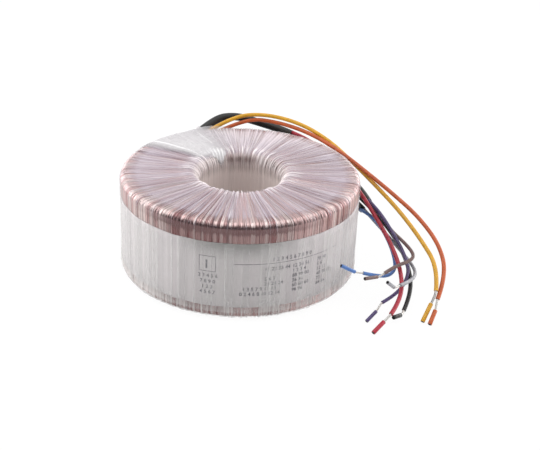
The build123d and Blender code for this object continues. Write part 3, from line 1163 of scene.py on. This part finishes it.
@dataclass
class ExitPatch:
    """White film over the place where the leads come out, with the bulge that they make."""

    section: RoundedSection
    sleeves: list[Sleeve]
    start: float = 96.0
    # The left edge: its angle in degrees at distances from the axis in millimetres
    edge_radii: tuple[float, ...] = (24.0, 30.0, 35.0, 39.0, 44.0, 50.5, 58.0, 62.0, 67.0)
    edge_angles: tuple[float, ...] = (153.5, 151.5, 148.5, 146.0, 146.3, 148.3, 149.5, 150.9, 152.5)
    tuck: float = 4.5 * MM
    flap: float = 7.0 * MM
    flap_angle: float = 119.0
    flap_width: float = 4.0
    overhang: float = 17.0 * MM
    rest: float = 0.12 * MM
    thickness: float = 0.25 * MM
    hump_angle: float = 107.0
    hump_half: float = 18.0 * MM
    hump_across: float = 9.5 * MM
    hump_rise: float = 1.6 * MM
    crumple_angle: float = 10.0
    crumple_reach: float = 6.0 * MM
    fold_share: float = 0.855
    fold_width: float = 0.014
    crease_angle: float = 113.5
    crease_lean: float = 110.0
    crease_width: float = 0.55
    cuff_length: float = 12.0 * MM
    cuff_film: float = 0.9 * MM
    rows: int = 110
    columns: int = 84

    def crumple(self, azimuth: np.ndarray, along: np.ndarray) -> np.ndarray:
        """How crumpled the patch is: most at the flap by the lip of the hole, as a product of two bells.

        Args:
            azimuth: Angles in radians, one a point of the grid.
            along: Distances along the section, one a point of the grid.

        Returns:
            One number for each point, from 0 to 1.
        """
        aside = np.degrees(azimuth) - self.flap_angle
        past = along - self.section.edges()[2] + 2.5 * MM
        return bell(aside, self.crumple_angle) * bell(past, self.crumple_reach)

    def fold(self, azimuth: np.ndarray, along: np.ndarray, u: np.ndarray) -> np.ndarray:
        """How sharply folded the patch is.

        It is folded along its left edge and on one long crease, which are narrow bells across, each times
        an easing along its length. Where it is crumpled it has the ridges of a wave whose phase turns with
        both coordinates.

        Args:
            azimuth: Angles in radians, one a point of the grid.
            along: Distances along the section, one a point of the grid.
            u: Share of the way from the right edge to the left, one a row.

        Returns:
            One number for each point, from 0 to 1.2.
        """
        top = along - self.section.edges()[2]
        edge = bell(u - self.fold_share, self.fold_width)
        edge = edge * (0.45 + 0.55 * smooth_step(top, 8 * MM, 18 * MM))
        crease = bell(np.degrees(azimuth) - self.crease_angle - self.crease_lean * top, self.crease_width)
        crease = crease * smooth_step(top, 9 * MM, 13 * MM) * (1 - smooth_step(top, 26 * MM, 32 * MM))
        ridges = np.abs(np.cos(azimuth * 46 + 420 * along)) ** 4
        return np.clip(edge + 0.7 * crease + self.crumple(azimuth, along) * (0.1 + 1.1 * ridges), 0, 1.2)

    def lift(self, azimuth: np.ndarray, along: np.ndarray, u: np.ndarray, first: np.ndarray) -> np.ndarray:
        """Heights of the patch over the film.

        They sum a base, the bulge (a squared cosine along the rim times one across it), the folds, creases
        that grow towards the hole and a fine ripple.

        Args:
            azimuth: Angles in radians, one a point of the grid.
            along: Distances along the section, one a point of the grid.
            u: Share of the way from the right edge to the left, one a row.
            first: Distance along the section at which the patch starts, one a row.

        Returns:
            One height for each point of the grid.
        """
        edges = self.section.edges()
        rim = edges[3] + 0.5 * (edges[4] - edges[3])
        across = np.clip((along - rim) / self.hump_across, -1, 1)
        beside = self.section.outer * (azimuth - math.radians(self.hump_angle))
        length = np.clip(beside / self.hump_half, -1, 1)
        hump = self.hump_rise * np.cos(math.pi / 2 * across) ** 2 * np.cos(math.pi / 2 * length) ** 2
        to_hole = np.clip(1 - (along - first) / (12 * MM), 0, 1)
        crease = 0.35 * MM * to_hole * swell(azimuth * 6 + 40 * along, 9, 5)
        folds = 0.55 * MM * self.fold(azimuth, along, u)
        ripple = 0.12 * MM * swell(azimuth * 4 - 25 * along, 7, 12)
        thin = 0.3 + 0.7 * smooth_step((along - first) / MM, 0.0, 6.0)
        return self.rest + thin * (self.thickness + hump + folds + np.abs(ripple)) + np.abs(crease)

    def sheet(self) -> tuple[np.ndarray, np.ndarray, np.ndarray, np.ndarray]:
        """The patch's upper and lower skins, joined all round the edge.

        Returns:
            Its points, its faces, and how covering and how folded the film is at each point.
        """
        edges = self.section.edges()
        last = edges[4] + self.overhang - self.section.top_rim
        away = np.linspace(0, 1, self.columns)[None, :]
        u = np.linspace(0, 1, self.rows)[:, None]
        radius = self.section.trace((edges[2] + away * (last - edges[2])).ravel())[0] / MM
        left = np.interp(radius, self.edge_radii, self.edge_angles)[None, :]
        azimuth = np.radians(self.start + (left - self.start) * u)
        azimuth = azimuth + math.radians(0.5) * np.sin(17 * away) * (2 * u - 1) ** 8
        beside = np.degrees(azimuth[:, :1]) - self.flap_angle
        first = edges[2] - self.tuck - self.flap * bell(beside, self.flap_width)
        along = first + (last - first) * away
        top = self.lift(azimuth, along, u, first)
        flat = along.ravel()
        outer = self.section.surface(azimuth.ravel(), flat, top.ravel())
        inner = self.section.surface(azimuth.ravel(), flat, np.full(flat.shape, -0.3 * MM))
        count, columns = self.rows * self.columns, self.columns
        faces = grid_faces(self.rows, columns, False, False)
        ring = np.concatenate((
            np.arange(columns - 1), np.arange(1, self.rows) * columns - 1,
            count - 1 - np.arange(columns - 1), np.arange(self.rows - 1, 0, -1) * columns,
        ))
        following = np.roll(ring, -1)
        wall = np.stack((ring, following, following + count, ring + count), -1)[:, ::-1]
        faces = np.concatenate((faces, faces[:, ::-1] + count, wall))
        crumple = self.crumple(azimuth, along)
        cover = 0.12 + 0.88 * smooth_step(u, 0.0, 0.55)
        cover = cover - 0.12 * smooth_step(u, 0.87, 0.89) - 0.6 * smooth_step(u, 0.89, 1.0)
        cover = cover * (0.25 + 0.75 * smooth_step(away, 0.0, 0.09))
        cover = np.maximum(cover, 0.95 * smooth_step(crumple, 0.15, 0.6)).ravel()
        fold = self.fold(azimuth, along, u).ravel()
        points = np.concatenate((outer, inner))
        return points, faces, np.concatenate((cover, cover)), np.concatenate((fold, fold))

    def cuff(self, sleeve: Sleeve, rings: int = 26, sides: int = 48) -> tuple[np.ndarray, np.ndarray]:
        """The film gathered round the start of a sleeve: a taper with lengthwise gathers and a round nose.

        A corner lies at start + distance × axis + radius × (cos × side - sin × up). The radius grows
        evenly to the widest place, then follows a quarter circle down to the sleeve.

        Args:
            sleeve: The sleeve that comes out.
            rings: Places along the taper.
            sides: Corners round it.

        Returns:
            Its points and faces.
        """
        start, corner = np.array(sleeve.route[0]) * MM, np.array(sleeve.route[1]) * MM
        axis = (corner - start) / np.linalg.norm(corner - start)
        side, up = square_frame(axis, (0, 0, 1))
        mouth, widest = sleeve.diameter / 2, self.cuff_length - self.cuff_film
        taper = np.linspace(0, widest, rings - 8)
        bend = np.linspace(0, math.pi / 2, 9)[1:]
        distance = np.concatenate((taper, widest + self.cuff_film * np.sin(bend)))
        widening = taper / widest * (mouth + self.cuff_film)
        radius = np.concatenate((widening, mouth + self.cuff_film * np.cos(bend)))
        turn = np.linspace(0, math.tau, sides, endpoint=False)[None, :]
        gathers = 1 + 0.05 * swell(turn[0], 9, 3)[None, :] * np.clip(radius / mouth, 0, 1)[:, None]
        reach = radius[:, None] * gathers
        reach[-1] = mouth - 0.1 * MM
        around = np.cos(turn)[..., None] * side - np.sin(turn)[..., None] * up
        points = start + distance[:, None, None] * axis + reach[..., None] * around
        return points.reshape(-1, 3), grid_faces(rings, sides, False, True)

    def build(self) -> None:
        """Makes and dresses the patch."""
        points, faces, cover, fold = self.sheet()
        for sleeve in self.sleeves:
            more, around = self.cuff(sleeve)
            faces = np.concatenate((faces, around + len(points)))
            points = np.concatenate((points, more))
            cover = np.concatenate((cover, np.ones(len(more))))
            fold = np.concatenate((fold, np.zeros(len(more))))
        piece = new_mesh("exit_patch_film", points, faces)
        add_attribute(piece, "cover", cover)
        add_attribute(piece, "fold", fold)
        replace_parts(piece, "lead_exit_patch")
        dress(piece, PatchFinish().material())


# ---------------------------------------------------------------- sleeves and leads


class Winding(Enum):
    """Which winding a lead belongs to, with the insulation's and the strands' diameters."""

    PRIMARY = (2.0 * MM, 1.0 * MM)
    SECONDARY = (2.4 * MM, 1.3 * MM)

    @property
    def insulation(self) -> float:
        """Diameter over the insulation."""
        return self.value[0]

    @property
    def strands(self) -> float:
        """Diameter of the bare strands."""
        return self.value[1]


def cord_curve(name: str, route: list[Point], diameter: float) -> bpy.types.Object:
    """A round cord on one smooth open spline.

    Args:
        name: The piece's name.
        route: The route's points in millimetres, which are the spline's control points.
        diameter: The cord's diameter in metres.

    Returns:
        The piece.
    """
    curve = bpy.data.curves.new(name, "CURVE")
    curve.dimensions = "3D"
    spline = curve.splines.new("NURBS")
    spline.points.add(len(route) - 1)
    for point, place in zip(spline.points, route):
        point.co = (*(value * MM for value in place), 1.0)
        point.radius = diameter / 2
    spline.order_u = 3
    spline.use_endpoint_u = True
    spline.use_smooth = True
    spline.resolution_u = 14
    curve.bevel_depth = 1.0
    curve.bevel_resolution = 5
    curve.use_fill_caps = True
    return place_piece(name, curve)


def sweep_tubes(name: str, paths: np.ndarray, radius: float | np.ndarray, sides: int) -> bpy.types.Object:
    """Round tubes along several paths, as one piece: path + radius × (cos × side + sin × up).

    The side and up directions are square to the path's tangent, the side found from a fixed direction.

    Args:
        name: The piece's name.
        paths: Paths by stations by x, y and z.
        radius: One radius, or one for each station.
        sides: Corners round a tube.

    Returns:
        The object.
    """
    tangent = np.gradient(paths, axis=1)
    tangent /= np.linalg.norm(tangent, axis=2, keepdims=True)
    side, up = square_frame(tangent, (0.13, 0.21, 0.97))
    turn = np.linspace(0, math.tau, sides, endpoint=False)[:, None]
    reach = np.broadcast_to(radius, paths.shape[1])[None, :, None, None]
    rings = paths[:, :, None] + reach * (np.cos(turn) * side[:, :, None] + np.sin(turn) * up[:, :, None])
    count, stations = paths.shape[:2]
    tube = grid_faces(stations, sides, False, True)
    size = stations * sides
    points = np.concatenate((rings.reshape(count, size, 3), paths[:, :1], paths[:, -1:]), axis=1)
    low = np.arange(sides)
    around = np.roll(low, -1)
    caps = np.concatenate((
        np.stack((np.full(sides, size), around, low), -1),
        np.stack((np.full(sides, size + 1), low + size - sides, around + size - sides), -1),
    ))
    quads = np.concatenate((tube, np.concatenate((caps, caps[:, 2:]), axis=1)))
    block = points.shape[1]
    faces = (quads[None] + block * np.arange(count)[:, None, None]).reshape(-1, 4)
    return tube_mesh(name, points.reshape(-1, 3), faces)


def tube_mesh(name: str, points: np.ndarray, faces: np.ndarray) -> bpy.types.Object:
    """A smooth piece from rows of four corners, where a row that repeats its last corner is a triangle.

    Args:
        name: The piece's name.
        points: Corners.
        faces: Corner numbers, four a row.

    Returns:
        The piece.
    """
    mesh = bpy.data.meshes.new(name)
    rows = [row[:3] if row[2] == row[3] else row for row in faces.tolist()]
    mesh.from_pydata(points.tolist(), [], rows)
    return place_smooth(name, mesh)


@dataclass
class Sleeve:
    """A piece of sleeving that leads share on their way from the winding."""

    name: str
    route: list[Point]
    diameter: float
    length: float
    stiffness: str = "medium"

    def build(self, finish: bpy.types.Material) -> None:
        """Args:
            finish: The sleeving's material.
        """
        piece = cord_curve(f"{self.name}_tube", self.route, self.diameter)
        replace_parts(piece, self.name)
        dress(piece, finish)


@dataclass
class Lead:
    """A flying lead: its insulation, bare strands, and the slug of insulation left on its end."""

    colour: str
    winding: Winding
    body: Colour
    length: float
    route: list[Point]
    slug_start: Point
    slug_tip: Point
    strand_count: int = 8
    twist: float = 1.15
    stations: int = 26
    recess: float = 1.1 * MM
    sides: int = 20

    def bare_path(self) -> np.ndarray:
        """The strands' centre line: a cubic that leaves the insulation and enters the slug straight.

        Each weight is a Bernstein polynomial of the share of the way, and the two inner handles lie a third
        of the gap along the end directions.

        Returns:
            Rows of x, y and z.
        """
        end, before = np.array(self.route[-1]), np.array(self.route[-2])
        start, tip = np.array(self.slug_start), np.array(self.slug_tip)
        leave, enter = (way / np.linalg.norm(way) for way in (end - before, tip - start))
        gap = np.linalg.norm(start - end)
        handles = np.stack((end - leave, end + leave * gap / 3, start - enter * gap / 3, start + enter))
        t = np.linspace(0, 1, self.stations)[:, None]
        weights = np.concatenate(((1 - t) ** 3, 3 * t * (1 - t) ** 2, 3 * t**2 * (1 - t), t**3), axis=1)
        return weights @ handles * MM

    def strands(self) -> bpy.types.Object:
        """Bare strands twisted round their centre line, a little looser in the middle.

        A strand lies at centre + reach × (cos × side + sin × up) of its own angle plus the twist so far.

        Returns:
            The piece.
        """
        path = self.bare_path()
        tangent = np.gradient(path, axis=0)
        tangent /= np.linalg.norm(tangent, axis=1, keepdims=True)
        side, up = square_frame(tangent, (0.31, 0.17, 0.93))
        share = np.linspace(0, 1, len(path))
        each = 0.19 * self.winding.strands
        reach = (self.winding.strands / 2 - each) * (1 + 0.18 * np.sin(math.pi * share))
        start = math.tau * np.arange(self.strand_count)[:, None] / self.strand_count
        angle = start + math.tau * self.twist * share
        around = np.cos(angle)[..., None] * side + np.sin(angle)[..., None] * up
        paths = path + reach[:, None] * around
        paths = np.concatenate((paths, path[None]))
        piece = sweep_tubes(f"{self.colour}_bare_strands", paths, each, 7)
        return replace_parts(piece, f"{self.colour}_conductor") or piece

    def slug(self) -> bpy.types.Object:
        """The slug: a profile of radii along its axis, open at the tip, turned about it.

        Each ring of corners is start + distance × axis + radius × (cos × side + sin × up).

        Returns:
            The piece.
        """
        start, tip = np.array(self.slug_start) * MM, np.array(self.slug_tip) * MM
        length = np.linalg.norm(tip - start)
        axis = (tip - start) / length
        side, up = square_frame(axis, (0.2, 0.1, 0.97))
        full, hollow = self.winding.insulation / 2, self.winding.strands / 2
        deep = length - self.recess
        distance = np.array([
            0, 0, 0.12 * MM, 0.35 * length, 0.7 * length, length - 0.15 * MM, length, length, deep, deep,
        ])
        radius = full * np.array([0, 0.9, 1, 0.985, 1, 1, 0.93, 0, 0, 0])
        radius[7:9] = hollow + 0.08 * MM, hollow
        turn = np.linspace(0, math.tau, self.sides, endpoint=False)[None, :, None]
        around = np.cos(turn) * side + np.sin(turn) * up
        rings = start + distance[:, None, None] * axis + radius[:, None, None] * around
        faces = grid_faces(len(distance), self.sides, False, True)
        piece = new_mesh(f"{self.colour}_slug_tip", rings.reshape(-1, 3), faces)
        # Where painted shade darkens the inside of the open tip.
        inside = np.array([0, 0, 0, 0, 0, 0, 0.25, 1, 1, 1.0])
        add_attribute(piece, "recess", inside[:, None] * np.ones(self.sides))
        weld(piece)
        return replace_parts(piece, f"{self.colour}_slug") or piece

    def build(self, strand_finish: bpy.types.Material) -> None:
        """Args:
            strand_finish: The bare strands' material.
        """
        plastic = PlasticFinish(f"{self.colour}_insulation", self.body).material()
        wire = cord_curve(f"{self.colour}_insulated_wire", self.route, self.winding.insulation)
        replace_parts(wire, f"{self.colour}_lead")
        dress(wire, plastic)
        strands = dress(self.strands(), strand_finish)
        slug = dress(self.slug(), plastic)


def weld(piece: bpy.types.Object) -> None:
    """Merges corners that lie in one place and turns all faces outwards.

    Args:
        piece: The mesh object.
    """
    shape = bmesh.new()
    shape.from_mesh(piece.data)
    bmesh.ops.remove_doubles(shape, verts=shape.verts, dist=1e-6)
    bmesh.ops.recalc_face_normals(shape, faces=shape.faces)
    shape.to_mesh(piece.data)
    shape.free()


@dataclass
class Wiring:
    """The sleeves and the eight leads."""

    sleeves: list[Sleeve] = field(default_factory=lambda: [
        Sleeve("black_red_sleeve", [
            (-32.2, 55.1, 50.8), (-18, 73, 59), (-4, 78.5, 59.5), (11, 78, 55.5), (23.5, 74.5, 53),
            (31, 69, 52),
        ], 4.8 * MM, 76.6 * MM),
        Sleeve("violet_brown_sleeve", [
            (-36.4, 54, 48.5), (-15.5, 73.5, 48.5), (4, 76, 46.5), (25.5, 72, 43.5), (45.5, 62, 39.5),
            (61.5, 47.5, 36), (71.5, 31, 34), (75, 15, 33),
        ], 4.2 * MM, 149.6 * MM),
        Sleeve("blue_grey_sleeve", [
            (-33.7, 55.9, 44.2), (-14, 72, 42), (3, 73.5, 39.5), (23.5, 69.5, 36.5), (42.5, 60, 32.5),
            (57.5, 47.5, 28.5), (67.5, 33, 26), (72, 17, 27),
        ], 4.2 * MM, 138.8 * MM),
    ])
    leads: list[Lead] = field(default_factory=lambda: [
        Lead("yellow", Winding.SECONDARY, (0.68, 0.35, 0.014), 210.3 * MM, [
            (-20.5, 63.5, 54.5), (-5.5, 70.5, 62), (13, 70, 64.5), (34.5, 62.5, 62.5), (52.8, 51.8, 55.8),
            (66.9, 36.4, 48), (79.2, 16.6, 42.2), (90.5, -6, 37.5), (101, -25.5, 29.5), (108.5, -42, 21.5),
            (106.5, -54, 14),
        ], (104, -57.5, 8), (99, -65, 1.1)),
        Lead("orange", Winding.SECONDARY, (0.50, 0.088, 0.012), 208.4 * MM, [
            (-14, 65, 54), (2.5, 70.5, 61), (21.5, 67.5, 60.5), (41.8, 56.7, 58), (59.6, 40.9, 52.8),
            (74.1, 23.9, 47.4), (87.3, 7.6, 42.3), (101, -9.5, 36), (111, -28.5, 28), (113, -44.5, 18.5),
            (107.5, -56, 10),
        ], (106, -61, 6), (102.5, -67.5, 1.1)),
        Lead("red", Winding.SECONDARY, (0.40, 0.012, 0.034), 162.5 * MM, [
            (31.2, 68.9, 53.2), (41.6, 61.3, 51.8), (53.5, 49.5, 46.5), (63.5, 34.5, 41), (71.5, 16.5, 36),
            (78.5, -2.5, 30.5), (85.5, -22, 24), (89.5, -40.5, 16.5), (88, -56, 9.5), (81.5, -67, 6.5),
        ], (77.5, -71.5, 4.5), (71.5, -77.5, 1.2)),
        Lead("black", Winding.SECONDARY, (0.012, 0.011, 0.012), 155.8 * MM, [
            (31, 69, 50.8), (41.4, 61.4, 49.4), (53, 50.5, 40.5), (63, 37.5, 34), (73, 22.5, 30),
            (82.5, 5.5, 26), (90.5, -12.5, 21), (95, -30.5, 14.5), (95, -45.5, 7.5), (90, -56, 2.5),
        ], (87.5, -62, 3), (83, -67, 4.5)),
        Lead("brown", Winding.PRIMARY, (0.17, 0.105, 0.10), 74.8 * MM, [
            (75.1, 14.6, 32), (77.6, 8.3, 31.6), (81.8, 1.4, 30.4), (86.6, -8.4, 26), (93.4, -18, 23.5),
            (97.5, -29, 22), (94, -35.5, 21.5), (86, -40, 21), (79.5, -45, 19),
        ], (75, -49.5, 19), (67.5, -55.5, 21)),
        Lead("violet", Winding.PRIMARY, (0.082, 0.055, 0.165), 86.0 * MM, [
            (75, 14.8, 34.1), (77.5, 7, 34), (81.5, -1.2, 32), (86.3, -11, 27.3), (92.5, -23, 20),
            (94.5, -34.5, 15), (90.5, -44, 10.5), (83.5, -51, 7.5), (78, -56, 7),
        ], (74.5, -61, 4.5), (69, -66, 1)),
        Lead("blue", Winding.PRIMARY, (0.075, 0.19, 0.50), 78.2 * MM, [
            (71, 16.4, 27), (74.2, 8, 28.8), (79, -1, 28), (83, -11, 24.8), (86.3, -21, 20),
            (87.5, -31, 15), (83.5, -38, 13.5), (76, -41.5, 15), (68, -44, 18),
        ], (63, -47.5, 20.5), (55, -50, 25.5)),
        Lead("grey", Winding.PRIMARY, (0.33, 0.33, 0.36), 82.7 * MM, [
            (73, 17, 27), (76, 8.8, 26.6), (79.8, 2, 24.6), (86, -5.5, 20.5), (92.5, -15.5, 16.5),
            (98, -26.5, 13.5), (98, -36.5, 13.5), (93, -45.5, 14), (87, -53.5, 16.5),
        ], (83, -58.5, 18), (78.5, -64, 24)),
    ])

    def build(self) -> None:
        """Makes every sleeve and lead."""
        sleeving = PlasticFinish("black_sleeving", (0.010, 0.009, 0.009), 0.5, 0.10).material()
        tinned = MetalFinish("tinned_strands", (0.78, 0.76, 0.73), 0.26).material()
        for sleeve in self.sleeves:
            sleeve.build(sleeving)
        for lead in self.leads:
            lead.build(tinned)


# ---------------------------------------------------------------- inner pieces


@dataclass(frozen=True)
class InnerPieces:
    """The core and the layers under the secondary turns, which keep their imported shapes."""

    def build(self) -> None:
        """Gives each packed inner piece its own finish."""
        finishes = {
            "core": MetalFinish("core_strip", (0.42, 0.42, 0.44), 0.35),
            "core_tape": TapeFinish("core_tape_wrap", (0.80, 0.78, 0.68)),
            "primary_winding_1": MetalFinish("primary_copper_1", (0.55, 0.24, 0.14), 0.3),
            "primary_winding_2": MetalFinish("primary_copper_2", (0.60, 0.28, 0.17), 0.3),
            "interwinding_insulation": TapeFinish("interwinding_tape", (0.82, 0.72, 0.36)),
        }
        for name, finish in finishes.items():
            node = frame["nodes"][name]
            material = finish.material()
            for slot in node.material_slots:
                slot.material = material
            log.info("%s", name)


# ---------------------------------------------------------------- studio


def aimed(stand: Point, aim: Point) -> Matrix:
    """The place and turn of a camera or lamp that stands at one point and looks at another."""
    turn = (Vector(aim) - Vector(stand)).to_track_quat("-Z", "Y").to_matrix().to_4x4()
    return Matrix.Translation(stand) @ turn


@dataclass(frozen=True)
class Studio:
    """A white table, soft light and the camera.

    The world's light goes by its direction: it grows from dim in front to bright above, behind and at the
    sides, and two brighter wings stand behind on the left and on the right.
    """

    eye: Point = (0.0, -564.8 * MM, 307.1 * MM)
    aim: Point = (17.4 * MM, -10.1 * MM, 28.5 * MM)
    roll: float = 2.48
    lens: float = 73.47
    sensor: float = 36.0
    white: float = 1.02
    table_half: float = 6.0
    table_colour: Colour = (0.86, 0.86, 0.86)
    table_glow: float = 0.92
    lamp_aim: Point = (0.0, 0.0, 30 * MM)
    front_strength: float = 0.13
    back_strength: float = 0.72
    rise: tuple[float, float] = (0.10, 0.60)
    lean: Point = (0.0, 0.6, 1.0)
    wing_strength: float = 1.9
    wing_rise: tuple[float, float] = (0.41, 0.60)
    wing_lean: Point = (0.0, 0.35, 0.0)
    sideways: Point = (0.5, 0.0, 0.0)

    def camera(self) -> None:
        """Places the camera: it looks from the eye to the aim and leans by the roll."""
        data = bpy.data.cameras.new("view")
        data.lens = self.lens
        data.sensor_width = self.sensor
        camera = place("view", data)
        camera.matrix_world = aimed(self.eye, self.aim) @ Matrix.Rotation(math.radians(self.roll), 4, "Z")
        bpy.context.scene.camera = camera

    def floor(self) -> None:
        """A wide white floor that keeps a light shadow: where it is seen or mirrored, most of it glows."""
        half = self.table_half
        corners = [(-half, -half, 0.0), (half, -half, 0.0), (half, half, 0.0), (-half, half, 0.0)]
        mesh = bpy.data.meshes.new("floor")
        mesh.from_pydata(corners, [], [(0, 1, 2, 3)])
        tree = Tree("floor_white")
        path = tree.node("ShaderNodeLightPath").outputs
        bounced = tree.maths("MAXIMUM", path["Is Glossy Ray"], path["Is Transmission Ray"])
        seen = tree.maths("MAXIMUM", path["Is Camera Ray"], bounced)
        diffuse = tree.node("ShaderNodeBsdfDiffuse", {"Color": opaque(self.table_colour)})
        glow = tree.node("ShaderNodeEmission", {"Color": (1, 1, 1, 1), "Strength": self.white})
        shaders = {0: tree.product(seen, self.table_glow), 1: diffuse.outputs[0], 2: glow.outputs[0]}
        mixed = tree.node("ShaderNodeMixShader", shaders)
        tree.links.new(mixed.outputs[0], tree.output.inputs[0])
        mesh.materials.append(tree.material)
        place("floor", mesh)

    def world(self) -> None:
        """White where it is seen, and elsewhere light that goes by its direction.

        The direction times lean, plus sideways times its |x|, is eased over rise from the front's strength to
        the back's. The direction times wing_lean, plus the same sideways part, is eased over wing_rise up to
        the wings' strength, and the light is the sum of the two.
        """
        world = bpy.data.worlds.new("studio")
        bpy.context.scene.world = world
        tree = Nodes(world, "ShaderNodeOutputWorld")
        path = tree.node("ShaderNodeLightPath").outputs
        seen = tree.maths("MAXIMUM", path["Is Camera Ray"], path["Is Transmission Ray"])
        direction = tree.node("ShaderNodeTexCoord").outputs["Generated"]
        sides = tree.node("ShaderNodeVectorMath", {0: direction}, operation="ABSOLUTE").outputs[0]
        sideways = tree.dot(sides, self.sideways)
        raised = tree.total(tree.dot(direction, self.lean), sideways)
        winged = tree.total(sideways, tree.dot(direction, self.wing_lean))
        light = tree.total(
            tree.fit(raised, *self.rise, self.front_strength, self.back_strength),
            tree.fit(winged, *self.wing_rise, 0.0, self.wing_strength),
        )
        strength = tree.node("ShaderNodeMix", {0: seen, 2: light, 3: self.white}).outputs[0]
        background = tree.node("ShaderNodeBackground", {"Color": (1, 1, 1, 1), "Strength": strength})
        tree.links.new(background.outputs[0], tree.output.inputs[0])

    def lamp(
        self, name: str, stand: Point, size: tuple[float, float], power: float, mirrored: bool = True
    ) -> None:
        """Places a soft box that is turned to the ring.

        Args:
            name: The lamp's name.
            stand: Where it stands, in metres.
            size: Its width and height.
            power: Its power in watts.
            mirrored: Whether glossy surfaces show it.
        """
        data = bpy.data.lights.new(name, "AREA")
        data.shape = "RECTANGLE"
        data.size, data.size_y = size
        data.energy = power
        lamp = place(name, data)
        lamp.visible_glossy = mirrored
        lamp.matrix_world = aimed(stand, self.lamp_aim)

    def build(self) -> None:
        """Sets the camera, the floor, the world and the lamps."""
        self.camera()
        self.floor()
        self.world()
        self.lamp("key", (-0.15, -0.05, 1.0), (0.9, 1.2), 3.4)
        self.lamp("side", (-1.0, -0.05, 0.45), (1.2, 0.9), 7.8, False)
        self.lamp("fill", (1.0, -0.10, 0.45), (1.2, 0.9), 7.0, False)
        bpy.context.scene.view_settings.view_transform = "Standard"


def ring_section() -> RoundedSection:
    """The film's section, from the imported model's boxes and its hole.

    Returns:
        The section.
    """
    low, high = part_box("film_jacket")
    hole = next(mount for mount in frame["record"]["mounts"] if mount["name"] == "centre_hole")
    inner, span = hole["dims"]["r_mm"] * MM, hole["dims"]["length_mm"] * MM
    height = high[2] - low[2]
    return RoundedSection(inner, high[0], height, (height - span) / 2)


def main() -> None:
    """Builds the studio, the wiring, the ring with its print and patch, and the inner pieces."""
    logging.basicConfig(level=logging.INFO, format="%(message)s")
    Studio().build()
    wiring = Wiring()
    wiring.build()
    section = ring_section()
    WoundRing(section).build()
    LabelPrint(section).build()
    ExitPatch(section, wiring.sleeves).build()
    InnerPieces().build()
    bpy.context.view_layer.update()


if __name__ == "__main__":
    main()
